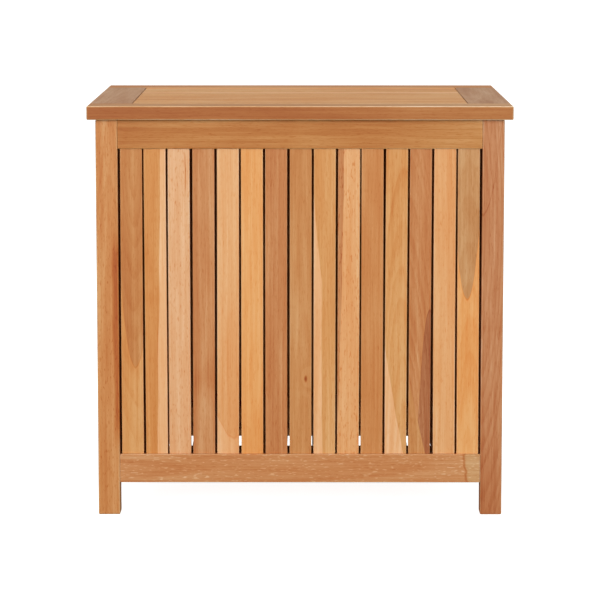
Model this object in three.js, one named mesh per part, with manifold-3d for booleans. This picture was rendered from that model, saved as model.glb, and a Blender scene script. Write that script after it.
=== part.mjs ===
// A garden storage chest in teak: a slatted box on four legs with a slatted
// floor, and a framed, slatted lid on two butt hinges with a folding stay.
//
// Millimetres, +Z up, front towards -Y. The origin is on the ground, under the
// middle of the chest.

import * as THREE from 'three';
import { mergeVertices } from 'three/addons/utils/BufferGeometryUtils.js';
import Module from 'manifold-3d';

const wasm = await Module();
wasm.setup();

// ---------------------------------------------------------------- dimensions

// Overall, measured over the lid
const chestWidth = 600;
const chestDepth = 500;
const chestHeight = 586;

// Clearances
const fit = 0.3; // between pieces that touch or seat in each other
const lidSeatGap = 0.5; // lid underside above the legs and rails
const neighbourTenonGap = 1.5; // between the two tenons that meet in a leg
const pivotFit = 0.35; // round a stud in its hole
const armGap = 0.5; // between the flat faces of the stay's layers

// Legs and rails
const lidSideOverhang = 11.5;
const lidEndOverhang = 12;
const legSize = 31;
const railHeight = 41;
const railThickness = 20;
const railSetback = 1.5; // rail face behind the outer face of the legs
const bottomRailRise = 46.5; // ground to the underside of the bottom rails
const tenonThickness = 8;
const tenonShoulder = 6; // rail edge to tenon, above and below

// Wall slats
const slatThickness = 12;
const slatSetback = 3; // slat face behind the rail face
const slatGap = 2.9;
const tongueThickness = 6;
const tongueLength = 8;
const frontSlatCount = 15;
const backSlatCount = 14;
const sideSlatCount = 12;

// Floor
const floorStockWidth = 50;
const floorStockThickness = 12;
const floorSlatCount = 6;
const floorShift = -0.5; // the floor sits a little left of centre
const battenCount = 3;
const ledgerWidth = 20;
const ledgerHeight = 25;

// Lid
const lidThickness = 19.5;
const lidBoardWidth = 60;
const lidSlatThickness = 12;
const lidSlatGap = 3.25;
const lidSlatEndGap = 0.8; // slat shoulders to the side boards
const lidSlatCount = 11;
const lidTongueThickness = 5;
const lidTenonThickness = 7;
const lidTenonLength = 25;
const lidTenonShoulder = 10;
const cleatWidth = 35;

// Edges
const boardEase = 1.2; // radius of the eased long edges of a board
const legEase = 2;
const roundSides = 16; // flats round a stud or a knuckle

// Hinges
const hingeLength = 60;
const hingeLeafWidth = 20;
const hingeLeafThickness = 1.5;
const hingeFromLeg = 45; // leg to the near end of a leaf
const knuckleRadius = 3;
const knuckleCount = 5;
const pinRadius = 1.5;
const pinHeadLength = 1;
const pinHeadRadius = 2.4;
const leafScrewCount = 3;
const leafScrewFromEdge = 7; // screw line to the leaf's inner edge

// Countersunk screw holes in the hinge leaves and stay brackets
const screwRadius = 1.6;
const screwHeadRadius = 2.8;

// Stay
const armThickness = 2;
const armHalfWidth = 6;
const studRadius = 2.5;
const studHeadRadius = 4.5;
const studHeadThickness = 1.5;
const bodyPivotFromLeg = 25;
const bodyPivotAboveEdge = 11; // above the lower edge of the side top rail
const lidPivotReach = 150; // forward of the hinge pins
const lidPivotDrop = 9; // below the lid underside
const lidOpening = 98; // degrees
const lugRadius = 2;
const lugReach = 13; // elbow to stop lug
const bracketHalfWidth = 10;
const bracketTopMargin = 4; // bracket edge below the rail's upper edge
const bracketScrewSpread = 11;
const bracketScrewDrop = 7; // screws below the body bracket's upper edge
const flangeWidth = 17;

// ------------------------------------------------------------ derived values

const bodyWidth = chestWidth - 2 * lidSideOverhang;
const bodyDepth = chestDepth - 2 * lidEndOverhang;
const lidUnderside = chestHeight - lidThickness;
const legHeight = lidUnderside - lidSeatGap;

const topRail = [legHeight - railHeight, legHeight];
const bottomRail = [bottomRailRise, bottomRailRise + railHeight];

// Depths measured inwards from the outer faces of the legs
const railDepth = [railSetback, railSetback + railThickness];
const railMiddle = railSetback + railThickness / 2;
const tenonDepth = [railMiddle - tenonThickness / 2, railMiddle + tenonThickness / 2];
const slatDepth = [railSetback + slatSetback, railSetback + slatSetback + slatThickness];
const slatMiddle = (slatDepth[0] + slatDepth[1]) / 2;
const tongueDepth = [slatMiddle - tongueThickness / 2, slatMiddle + tongueThickness / 2];
const tenonLength = legSize - tenonDepth[1] - neighbourTenonGap;

const walls = {
  front: makeWall(0, 1, -1, bodyDepth, bodyWidth),
  back: makeWall(0, 1, 1, bodyDepth, bodyWidth),
  left: makeWall(1, 0, -1, bodyWidth, bodyDepth),
  right: makeWall(1, 0, 1, bodyWidth, bodyDepth),
};

// Hinge pins: behind the legs, in the middle of the seat gap
const hingeY = bodyDepth / 2 + knuckleRadius + fit;
const hingeZ = legHeight + lidSeatGap / 2;
const hingeX = bodyWidth / 2 - legSize - hingeFromLeg - hingeLength / 2;

// -------------------------------------------------------------- materials

const teak = new THREE.MeshStandardMaterial({ color: 0xb97a44, roughness: 0.62, metalness: 0 });
const paleTeak = new THREE.MeshStandardMaterial({ color: 0xcf9a64, roughness: 0.62, metalness: 0 });
const brass = new THREE.MeshStandardMaterial({ color: 0xc0954a, roughness: 0.35, metalness: 1 });
const steel = new THREE.MeshStandardMaterial({ color: 0x9a9c9e, roughness: 0.4, metalness: 1 });

// ------------------------------------------------------------ solid helpers

const axisX = new THREE.Vector3(1, 0, 0);
const axisY = new THREE.Vector3(0, 1, 0);
const axisZ = new THREE.Vector3(0, 0, 1);

// Turns a shape drawn in XY and extruded along Z so that it runs along an axis
const runAlong = [
  new THREE.Matrix4().makeBasis(axisY, axisZ, axisX),
  new THREE.Matrix4().makeBasis(axisZ, axisX, axisY),
  new THREE.Matrix4().makeBasis(axisX, axisY, axisZ),
];

function toSolid(geometry) {
  const bare = geometry.clone();
  bare.deleteAttribute('normal');
  bare.deleteAttribute('uv');
  const merged = mergeVertices(bare, 1e-4);
  const mesh = new wasm.Mesh({
    numProp: 3,
    vertProperties: new Float32Array(merged.attributes.position.array),
    triVerts: new Uint32Array(merged.index.array),
  });
  return new wasm.Manifold(mesh);
}

function toGeometry(solid) {
  const mesh = solid.getMesh();
  const geometry = new THREE.BufferGeometry();
  geometry.setAttribute('position', new THREE.BufferAttribute(mesh.vertProperties, 3));
  geometry.setIndex(new THREE.BufferAttribute(mesh.triVerts, 1));
  geometry.computeVertexNormals();
  return geometry;
}

const join = (solids) => solids.reduce((whole, solid) => whole.add(solid));
const cut = (solid, cutters) => cutters.reduce((rest, cutter) => rest.subtract(cutter), solid);

// A plain block between two corners
function block({ lo, hi }) {
  const size = hi.map((value, i) => value - lo[i]);
  const geometry = new THREE.BoxGeometry(...size);
  geometry.translate(...hi.map((value, i) => (value + lo[i]) / 2));
  return toSolid(geometry);
}

function grow({ lo, hi }, by) {
  return { lo: lo.map((value) => value - by), hi: hi.map((value) => value + by) };
}

// A board between two corners with its four long edges eased
function board({ lo, hi }, grain, ease = boardEase) {
  const size = hi.map((value, i) => value - lo[i]);
  const width = size[(grain + 1) % 3];
  const height = size[(grain + 2) % 3];
  const geometry = new THREE.ExtrudeGeometry(roundedRectangle(width, height, ease), {
    depth: size[grain],
    bevelEnabled: false,
    curveSegments: 1,
  });
  geometry.translate(0, 0, -size[grain] / 2);
  geometry.applyMatrix4(runAlong[grain]);
  geometry.translate(...hi.map((value, i) => (value + lo[i]) / 2));
  return toSolid(geometry);
}

function roundedRectangle(width, height, radius) {
  const x = width / 2 - radius;
  const y = height / 2 - radius;
  const shape = new THREE.Shape();
  shape.absarc(x, y, radius, 0, Math.PI / 2);
  shape.absarc(-x, y, radius, Math.PI / 2, Math.PI);
  shape.absarc(-x, -y, radius, Math.PI, 1.5 * Math.PI);
  shape.absarc(x, -y, radius, 1.5 * Math.PI, 2 * Math.PI);
  shape.closePath();
  return shape;
}

// A cylinder along Z between two heights
function cylinder(radius, from, to, x = 0, y = 0) {
  const geometry = new THREE.CylinderGeometry(radius, radius, to - from, roundSides);
  geometry.rotateX(Math.PI / 2);
  geometry.translate(x, y, (from + to) / 2);
  return toSolid(geometry);
}

// A cylinder along X on the hinge line
function onHingeLine(radius, from, to) {
  const geometry = new THREE.CylinderGeometry(radius, radius, to - from, roundSides);
  geometry.rotateZ(Math.PI / 2);
  geometry.translate((from + to) / 2, hingeY, hingeZ);
  return toSolid(geometry);
}

// A screw hole through a plate, countersunk at a point on the plate's face
function screwHole(point, normal, thickness) {
  const sink = screwHeadRadius - screwRadius;
  const hole = cylinder(screwRadius, -thickness - fit, 0);
  const cone = new THREE.CylinderGeometry(screwHeadRadius + fit, screwRadius, sink + fit, roundSides);
  cone.rotateX(Math.PI / 2);
  cone.translate(0, 0, (fit - sink) / 2);
  const turn = new THREE.Quaternion().setFromUnitVectors(axisZ, normal);
  const geometry = toGeometry(hole.add(toSolid(cone)));
  geometry.applyQuaternion(turn);
  geometry.translate(...point);
  return toSolid(geometry);
}

// Puts a solid made in the group's own axes into the group as a named mesh,
// with the mesh's position at the middle of the solid
function addPart(group, name, solid, material) {
  const geometry = toGeometry(solid);
  geometry.computeBoundingBox();
  const middle = geometry.boundingBox.getCenter(new THREE.Vector3());
  geometry.translate(-middle.x, -middle.y, -middle.z);
  const mesh = new THREE.Mesh(geometry, material);
  mesh.name = name;
  mesh.position.copy(middle);
  group.add(mesh);
}

const twoDigits = (number) => String(number).padStart(2, '0');

// ------------------------------------------------------------------- walls

// A wall runs along one axis and faces out along another
function makeWall(along, out, sign, thicknessSpan, lengthSpan) {
  return { along, out, sign, half: thicknessSpan / 2, span: lengthSpan - 2 * legSize };
}

// The corners of a block on a wall: a stretch along the wall, a range of depths
// inwards from the legs' outer faces, and a range of heights
function onWall(wall, stretch, depth, height) {
  const faces = depth.map((value) => wall.sign * (wall.half - value));
  const lo = [0, 0, height[0]];
  const hi = [0, 0, height[1]];
  lo[wall.along] = stretch[0];
  hi[wall.along] = stretch[1];
  lo[wall.out] = Math.min(...faces);
  hi[wall.out] = Math.max(...faces);
  return { lo, hi };
}

function tenonBlock(wall, rail) {
  const reach = wall.span / 2 + tenonLength;
  return onWall(wall, [-reach, reach], tenonDepth, [rail[0] + tenonShoulder, rail[1] - tenonShoulder]);
}

// The groove in a rail for the slat tongues: up into the top rail, down into
// the bottom rail
function grooveBlock(wall, rail) {
  const edge = rail === topRail ? rail[0] : rail[1];
  const bottom = rail === topRail ? edge - fit : edge - tongueLength - fit;
  const top = rail === topRail ? edge + tongueLength + fit : edge + fit;
  const depth = [tongueDepth[0] - fit, tongueDepth[1] + fit];
  return onWall(wall, [-wall.span / 2, wall.span / 2], depth, [bottom, top]);
}

function railSolid(wall, rail) {
  const stretch = [-wall.span / 2 + fit, wall.span / 2 - fit];
  const body = board(onWall(wall, stretch, railDepth, rail), wall.along);
  return join([body, block(tenonBlock(wall, rail))]).subtract(block(grooveBlock(wall, rail)));
}

// Evenly spread slats fill a span with the same gap between and beside them
function spread(span, count, gap) {
  const width = (span - (count + 1) * gap) / count;
  return Array.from({ length: count }, (_, i) => {
    const start = -span / 2 + gap + i * (width + gap);
    return [start, start + width];
  });
}

const slatHeight = [bottomRail[1] + fit, topRail[0] - fit];
const tongueHeight = [bottomRail[1] - tongueLength, topRail[0] + tongueLength];

function wallSlat(wall, stretch) {
  const body = board(onWall(wall, stretch, slatDepth, slatHeight), 2);
  const tongues = block(onWall(wall, stretch, tongueDepth, tongueHeight));
  return body.add(tongues);
}

// A wall of slats held together by the strips that fill the rail grooves
function slatPanel(wall, count) {
  const stretches = spread(wall.span, count, slatGap);
  const length = [stretches[0][0], stretches[count - 1][1]];
  const topStrip = [topRail[0] + fit, tongueHeight[1]];
  const bottomStrip = [tongueHeight[0], bottomRail[1] - fit];
  const strips = [topStrip, bottomStrip].map((height) => block(onWall(wall, length, tongueDepth, height)));
  return join([...stretches.map((stretch) => wallSlat(wall, stretch)), ...strips]);
}

function legSolid(signX, signY) {
  const outer = [signX * bodyWidth / 2, signY * bodyDepth / 2];
  const inner = [outer[0] - signX * legSize, outer[1] - signY * legSize];
  const lo = [Math.min(outer[0], inner[0]), Math.min(outer[1], inner[1]), 0];
  const hi = [Math.max(outer[0], inner[0]), Math.max(outer[1], inner[1]), legHeight];
  const mortises = Object.values(walls).flatMap((wall) =>
    [topRail, bottomRail].map((rail) => block(grow(tenonBlock(wall, rail), fit))));
  return cut(board({ lo, hi }, 2, legEase), mortises);
}

function addFrame(group) {
  for (const [depthName, signY] of [['front', -1], ['back', 1]]) {
    for (const [sideName, signX] of [['left', -1], ['right', 1]]) {
      addPart(group, `leg_${depthName}_${sideName}`, legSolid(signX, signY), teak);
    }
  }
  for (const [name, wall] of Object.entries(walls)) {
    const top = railSolid(wall, topRail);
    const seats = name === 'back' ? hingeCentres.map((x) => leafSeat(x, 'body')) : [];
    addPart(group, `${name}_top_rail`, cut(top, seats), teak);
    addPart(group, `${name}_bottom_rail`, railSolid(wall, bottomRail), teak);
  }
}

function addWallSlats(group) {
  spread(walls.front.span, frontSlatCount, slatGap).forEach((stretch, i) => {
    const material = i % 2 ? teak : paleTeak;
    addPart(group, `front_slat_${twoDigits(i + 1)}`, wallSlat(walls.front, stretch), material);
  });
  addPart(group, 'back_slats', slatPanel(walls.back, backSlatCount), paleTeak);
  addPart(group, 'left_slats', slatPanel(walls.left, sideSlatCount), paleTeak);
  addPart(group, 'right_slats', slatPanel(walls.right, sideSlatCount), paleTeak);
}

// ------------------------------------------------------------------- floor

// Slats from front to back on cross battens, nailed up as one duckboard
function duckboard() {
  const reachY = bodyDepth / 2 - railDepth[1] - fit;
  const reachX = bodyWidth / 2 - legSize - fit;
  const battenTop = bottomRail[1];
  const battenBottom = battenTop - floorStockThickness;
  const pitch = (bodyWidth - 2 * legSize) / floorSlatCount;
  const solids = [];
  for (let i = 0; i < floorSlatCount; i += 1) {
    const x = floorShift + (i - (floorSlatCount - 1) / 2) * pitch;
    solids.push(block({
      lo: [x - floorStockWidth / 2, -reachY, battenTop - fit],
      hi: [x + floorStockWidth / 2, reachY, battenTop + floorStockThickness],
    }));
  }
  for (let i = 0; i < battenCount; i += 1) {
    const y = (2 * i / (battenCount - 1) - 1) * (reachY - floorStockWidth / 2);
    solids.push(block({
      lo: [-reachX, y - floorStockWidth / 2, battenBottom],
      hi: [reachX, y + floorStockWidth / 2, battenTop],
    }));
  }
  return join(solids);
}

function ledger(wall) {
  const depth = [railDepth[1] + fit, railDepth[1] + fit + ledgerWidth];
  const top = bottomRail[1] - floorStockThickness - fit;
  const stretch = [-wall.span / 2 + fit, wall.span / 2 - fit];
  return board(onWall(wall, stretch, depth, [top - ledgerHeight, top]), wall.along);
}

function addFloor(group) {
  addPart(group, 'floor_duckboard', duckboard(), paleTeak);
  addPart(group, 'floor_ledger_left', ledger(walls.left), teak);
  addPart(group, 'floor_ledger_right', ledger(walls.right), teak);
}

// --------------------------------------------------------------------- lid

const lidLevel = [lidUnderside, chestHeight];
const lidMiddle = (lidUnderside + chestHeight) / 2;
const lidInnerX = chestWidth / 2 - lidBoardWidth;
const lidInnerY = chestDepth / 2 - lidBoardWidth;
const lidSlatLevel = [chestHeight - lidSlatThickness, chestHeight];
const lidTongueMiddle = chestHeight - lidSlatThickness / 2;

// The tenons of a lid side board, running through it from end to end
function lidTenonBlock(sign) {
  const near = lidInnerX + lidTenonShoulder;
  const far = chestWidth / 2 - lidTenonShoulder;
  const reach = lidInnerY + lidTenonLength;
  return {
    lo: [Math.min(sign * near, sign * far), -reach, lidMiddle - lidTenonThickness / 2],
    hi: [Math.max(sign * near, sign * far), reach, lidMiddle + lidTenonThickness / 2],
  };
}

// A block across the lid opening at tongue level, this far into both side boards
function lidTongueBlock(rangeY, halfThickness, reach) {
  return {
    lo: [-lidInnerX - reach, rangeY[0], lidTongueMiddle - halfThickness],
    hi: [lidInnerX + reach, rangeY[1], lidTongueMiddle + halfThickness],
  };
}

function lidCrossBoard(sign) {
  const outer = sign * chestDepth / 2;
  const inner = sign * lidInnerY;
  const body = board({
    lo: [-chestWidth / 2, Math.min(outer, inner), lidLevel[0]],
    hi: [chestWidth / 2, Math.max(outer, inner), lidLevel[1]],
  }, 0);
  return cut(body, [-1, 1].map((side) => block(grow(lidTenonBlock(side), fit))));
}

function lidSideBoard(sign) {
  const outer = sign * chestWidth / 2;
  const inner = sign * lidInnerX;
  const body = board({
    lo: [Math.min(outer, inner), -lidInnerY + fit, lidLevel[0]],
    hi: [Math.max(outer, inner), lidInnerY - fit, lidLevel[1]],
  }, 1);
  const groove = lidTongueBlock([-lidInnerY, lidInnerY], lidTongueThickness / 2 + fit, tongueLength + fit);
  return body.add(block(lidTenonBlock(sign))).subtract(block(groove));
}

function lidSlat(rangeY) {
  const body = board({
    lo: [-lidInnerX + lidSlatEndGap, rangeY[0], lidSlatLevel[0]],
    hi: [lidInnerX - lidSlatEndGap, rangeY[1], lidSlatLevel[1]],
  }, 0);
  return body.add(block(lidTongueBlock(rangeY, lidTongueThickness / 2, tongueLength)));
}

function addLid(group) {
  const backBoard = cut(lidCrossBoard(1), [
    ...hingeCentres.map((x) => leafSeat(x, 'lid')),
    ...hingeCentres.map((x) => onHingeLine(knuckleRadius + 2 * fit, ...hingeStretch(x, reliefMargin))),
  ]);
  addPart(group, 'lid_front_rail', lidCrossBoard(-1), teak);
  addPart(group, 'lid_back_rail', backBoard, teak);
  addPart(group, 'lid_left_rail', lidSideBoard(-1), teak);
  addPart(group, 'lid_right_rail', lidSideBoard(1), teak);
  spread(2 * lidInnerY, lidSlatCount, lidSlatGap).forEach((rangeY, i) => {
    addPart(group, `lid_slat_${twoDigits(i + 1)}`, lidSlat(rangeY), paleTeak);
  });
  const cleat = board({
    lo: [-cleatWidth / 2, -lidInnerY + fit, lidUnderside],
    hi: [cleatWidth / 2, lidInnerY - fit, lidSlatLevel[0] - fit],
  }, 1);
  addPart(group, 'lid_cleat', cleat, teak);
}

// ------------------------------------------------------------------ hinges

const hingeCentres = [-hingeX, hingeX];
const reliefMargin = pinHeadLength + 2 * fit; // past the leaf, for the pin heads
const hingeStretch = (x, extra) => [x - hingeLength / 2 - extra, x + hingeLength / 2 + extra];

// The body leaf lies flush in the rail and the lid leaf flush in the lid
function leafBlock(x, side) {
  const face = side === 'body' ? legHeight : lidUnderside;
  const back = side === 'body' ? face - hingeLeafThickness : face + hingeLeafThickness;
  const [start, end] = hingeStretch(x, 0);
  return {
    lo: [start, hingeY - hingeLeafWidth, Math.min(face, back)],
    hi: [end, hingeY, Math.max(face, back)],
  };
}

const leafSeat = (x, side) => block(grow(leafBlock(x, side), fit));

// Knuckles alternate, and the body leaf has the two outer ones
function hingeLeaf(x, side) {
  const [start] = hingeStretch(x, 0);
  const pitch = hingeLength / knuckleCount;
  const own = side === 'body' ? 0 : 1;
  let leaf = block(leafBlock(x, side));
  for (let i = 0; i < knuckleCount; i += 1) {
    const from = start + i * pitch;
    if (i % 2 === own) {
      const near = i === 0 ? from : from + fit / 2;
      const far = i === knuckleCount - 1 ? from + pitch : from + pitch - fit / 2;
      leaf = leaf.add(onHingeLine(knuckleRadius, near, far));
    } else {
      const near = i === 0 ? from - fit : from - fit / 2;
      leaf = leaf.subtract(onHingeLine(knuckleRadius + fit, near, from + pitch + fit / 2));
    }
  }
  const bore = onHingeLine(pinRadius + fit, ...hingeStretch(x, fit));
  return cut(leaf, [bore, ...leafScrewHoles(x, side)]);
}

function leafScrewHoles(x, side) {
  const normal = side === 'body' ? axisZ : axisZ.clone().negate();
  const face = side === 'body' ? legHeight : lidUnderside;
  const y = hingeY - hingeLeafWidth + leafScrewFromEdge;
  return Array.from({ length: leafScrewCount }, (_, i) => {
    const share = (i + 0.5) / leafScrewCount - 0.5;
    return screwHole([x + share * hingeLength, y, face], normal, hingeLeafThickness);
  });
}

function hingePin(x) {
  const [start, end] = hingeStretch(x, fit);
  return join([
    onHingeLine(pinRadius, start - pinHeadLength / 2, end + pinHeadLength / 2),
    onHingeLine(pinHeadRadius, start - pinHeadLength, start),
    onHingeLine(pinHeadRadius, end, end + pinHeadLength),
  ]);
}

function addHinges(bodyGroup, lidGroup) {
  hingeCentres.forEach((x, i) => {
    const name = i === 0 ? 'hinge_left' : 'hinge_right';
    addPart(bodyGroup, `${name}_body_leaf`, hingeLeaf(x, 'body'), brass);
    addPart(bodyGroup, `${name}_pin`, hingePin(x), brass);
    addPart(lidGroup, `${name}_lid_leaf`, hingeLeaf(x, 'lid'), brass);
  });
}

// -------------------------------------------------------------------- stay

// The stay has its own axes with their origin on the hinge line beside the
// right top rail: x forward, y up, z from the rail towards the middle of the
// chest. The body pivot, the elbow, the lid pivot and the hinge line are the
// corners of a parallelogram, so the arms turn exactly as far as the lid does.
const stayOrigin = [bodyWidth / 2 - railDepth[1], hingeY, hingeZ];
const bodyPivot = new THREE.Vector2(
  knuckleRadius + fit + legSize + bodyPivotFromLeg,
  topRail[0] - hingeZ + bodyPivotAboveEdge,
);
const lidPivot = new THREE.Vector2(lidPivotReach, lidUnderside - hingeZ - lidPivotDrop);

// Layers from the rail inwards
const bracketLayer = [fit, fit + armThickness];
const bodyArmLayer = nextLayer(bracketLayer);
const lidArmLayer = nextLayer(bodyArmLayer);
const tabLayer = nextLayer(lidArmLayer);

function nextLayer(layer) {
  return [layer[1] + armGap, layer[1] + armGap + armThickness];
}

// A flat bar with round ends from one point to another
function bar(from, to, halfWidth, layer) {
  const along = to.clone().sub(from);
  const shape = new THREE.Shape();
  shape.absarc(along.length(), 0, halfWidth, -Math.PI / 2, Math.PI / 2);
  shape.absarc(0, 0, halfWidth, Math.PI / 2, 1.5 * Math.PI);
  shape.closePath();
  const geometry = new THREE.ExtrudeGeometry(shape, {
    depth: layer[1] - layer[0],
    bevelEnabled: false,
    curveSegments: 6,
  });
  geometry.rotateZ(along.angle());
  geometry.translate(from.x, from.y, layer[0]);
  return toSolid(geometry);
}

const pivotHole = (layer, at) =>
  cylinder(studRadius + pivotFit, layer[0] - fit, layer[1] + fit, at.x, at.y);

// A headed stud that stands on one layer and goes through the next one
function stud(from, through, at) {
  const up = through[0] > from[0];
  const root = (from[0] + from[1]) / 2;
  const neck = up ? through[1] + pivotFit : through[0] - pivotFit;
  const tip = up ? neck + studHeadThickness : neck - studHeadThickness;
  return join([
    cylinder(studRadius, Math.min(root, tip), Math.max(root, tip), at.x, at.y),
    cylinder(studHeadRadius, Math.min(neck, tip), Math.max(neck, tip), at.x, at.y),
  ]);
}

function bodyBracket() {
  const plate = board({
    lo: [bodyPivot.x - bracketHalfWidth, topRail[0] - hingeZ + bracketTopMargin, bracketLayer[0]],
    hi: [bodyPivot.x + bracketHalfWidth, topRail[1] - hingeZ - bracketTopMargin, bracketLayer[1]],
  }, 2);
  const screwY = topRail[1] - hingeZ - bracketTopMargin - bracketScrewDrop;
  const holes = [-0.5, 0.5].map((share) => screwHole(
    [bodyPivot.x + share * bracketScrewSpread, screwY, bracketLayer[1]], axisZ, armThickness));
  return cut(plate, holes).add(stud(bracketLayer, bodyArmLayer, bodyPivot));
}

// Drawn at the pivot, lying along the axis it is turned about
function bodyArm() {
  const pivot = new THREE.Vector2(0, 0);
  const elbow = new THREE.Vector2(lidPivot.length(), 0);
  const arm = bar(pivot, elbow, armHalfWidth, bodyArmLayer);
  return arm.subtract(pivotHole(bodyArmLayer, pivot)).add(stud(bodyArmLayer, lidArmLayer, elbow));
}

// The short arm runs past the elbow to a lug that stops the long arm when the
// lid is fully open
function lidArm() {
  const pivot = new THREE.Vector2(0, 0);
  const elbow = new THREE.Vector2(bodyPivot.length(), 0);
  const lug = new THREE.Vector2(lugReach, 0).rotateAround(pivot, lugAngle()).add(elbow);
  const arm = join([
    bar(pivot, elbow, armHalfWidth, lidArmLayer),
    bar(elbow, lug, armHalfWidth - lugRadius, lidArmLayer),
    cylinder(lugRadius, bodyArmLayer[0], lidArmLayer[1], lug.x, lug.y),
  ]);
  return cut(arm, [pivotHole(lidArmLayer, pivot), pivotHole(lidArmLayer, elbow)]);
}

// Direction from the elbow to the lug, in the short arm's own axes
function lugAngle() {
  const closed = lidPivot.angle() - bodyPivot.angle();
  const open = closed + THREE.MathUtils.degToRad(lidOpening);
  return Math.PI + open + Math.asin((armHalfWidth + lugRadius + fit) / lugReach);
}

function lidBracket() {
  const top = lidUnderside - hingeZ - fit;
  const tab = board({
    lo: [lidPivot.x - armHalfWidth, lidPivot.y - armHalfWidth, tabLayer[0]],
    hi: [lidPivot.x + armHalfWidth, top, tabLayer[1]],
  }, 2);
  const flange = board({
    lo: [lidPivot.x - bracketHalfWidth, top - armThickness, tabLayer[0]],
    hi: [lidPivot.x + bracketHalfWidth, top, tabLayer[0] + flangeWidth],
  }, 1, armThickness);
  const screwZ = (tabLayer[1] + tabLayer[0] + flangeWidth) / 2;
  const holes = [-0.5, 0.5].map((share) => screwHole(
    [lidPivot.x + share * bracketScrewSpread, top - armThickness, screwZ],
    axisY.clone().negate(),
    armThickness,
  ));
  return join([tab, cut(flange, holes), stud(tabLayer, lidArmLayer, lidPivot)]);
}

function addStay(chest) {
  const stay = new THREE.Group();
  stay.setRotationFromMatrix(new THREE.Matrix4().makeBasis(
    axisY.clone().negate(), axisZ, axisX.clone().negate()));
  stay.position.set(...stayOrigin);
  addPart(stay, 'stay_body_bracket', bodyBracket(), steel);
  addPart(stay, 'stay_lid_bracket', lidBracket(), steel);

  const longArm = new THREE.Group();
  longArm.position.set(bodyPivot.x, bodyPivot.y, 0);
  longArm.rotation.z = lidPivot.angle();
  addPart(longArm, 'stay_body_arm', bodyArm(), steel);
  stay.add(longArm);

  const shortArm = new THREE.Group();
  shortArm.position.set(lidPivot.x, lidPivot.y, 0);
  shortArm.rotation.z = bodyPivot.angle();
  addPart(shortArm, 'stay_lid_arm', lidArm(), steel);
  stay.add(shortArm);
  chest.add(stay);
}

// ------------------------------------------------------------------- chest

const chest = new THREE.Group();
const body = new THREE.Group();
const lid = new THREE.Group();
addFrame(body);
addWallSlats(body);
addFloor(body);
addLid(lid);
addHinges(body, lid);
chest.add(body, lid);
addStay(chest);

export default chest;
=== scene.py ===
import math
import random

import bmesh
import bpy
from bpy.props import FloatProperty, FloatVectorProperty, PointerProperty
from bpy.types import Operator, Panel, PropertyGroup
from mathutils import Matrix, Vector


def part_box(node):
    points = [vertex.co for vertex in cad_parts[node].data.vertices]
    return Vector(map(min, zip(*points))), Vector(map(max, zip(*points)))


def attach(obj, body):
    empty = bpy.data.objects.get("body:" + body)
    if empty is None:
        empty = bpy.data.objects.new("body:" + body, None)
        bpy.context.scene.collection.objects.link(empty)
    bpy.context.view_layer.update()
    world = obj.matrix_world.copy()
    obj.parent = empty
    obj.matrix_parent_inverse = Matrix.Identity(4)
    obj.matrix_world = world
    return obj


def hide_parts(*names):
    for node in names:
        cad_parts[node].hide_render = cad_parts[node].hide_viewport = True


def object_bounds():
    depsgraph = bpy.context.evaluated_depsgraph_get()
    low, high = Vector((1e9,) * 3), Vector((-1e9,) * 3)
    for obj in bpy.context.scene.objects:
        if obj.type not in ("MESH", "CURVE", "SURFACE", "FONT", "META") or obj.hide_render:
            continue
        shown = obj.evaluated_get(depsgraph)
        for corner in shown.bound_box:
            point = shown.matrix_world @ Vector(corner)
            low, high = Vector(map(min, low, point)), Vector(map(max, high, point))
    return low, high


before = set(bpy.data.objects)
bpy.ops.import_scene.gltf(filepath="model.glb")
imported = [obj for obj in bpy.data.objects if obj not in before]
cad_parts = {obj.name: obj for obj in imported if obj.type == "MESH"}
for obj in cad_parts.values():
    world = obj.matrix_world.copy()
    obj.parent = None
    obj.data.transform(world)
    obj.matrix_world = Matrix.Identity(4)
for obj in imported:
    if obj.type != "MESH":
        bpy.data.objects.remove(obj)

bl_info = {
    "name": "Slatted Garden Chest",
    "version": (1, 0, 0),
    "blender": (4, 5, 0),
    "location": "3D View > Sidebar > Chest",
    "description": "Builds the teak boards, brass hinges, lid stay and studio of a slatted garden chest",
    "category": "Object",
}

CAD_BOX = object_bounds()
MM = 0.001

X = Vector((1, 0, 0))
Y = Vector((0, 1, 0))
Z = Vector((0, 0, 1))

SIDES = ("left", "right")
OUTWARD = {"front": -Y, "back": Y, "left": -X, "right": X}


def linear(red, green, blue):
    """A colour given as 0 to 255 display values, as the linear values that shaders use."""
    return tuple(((c / 255 + 0.055) / 1.055) ** 2.4 for c in (red, green, blue))


# ------------------------------------------------------------------- settings


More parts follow.
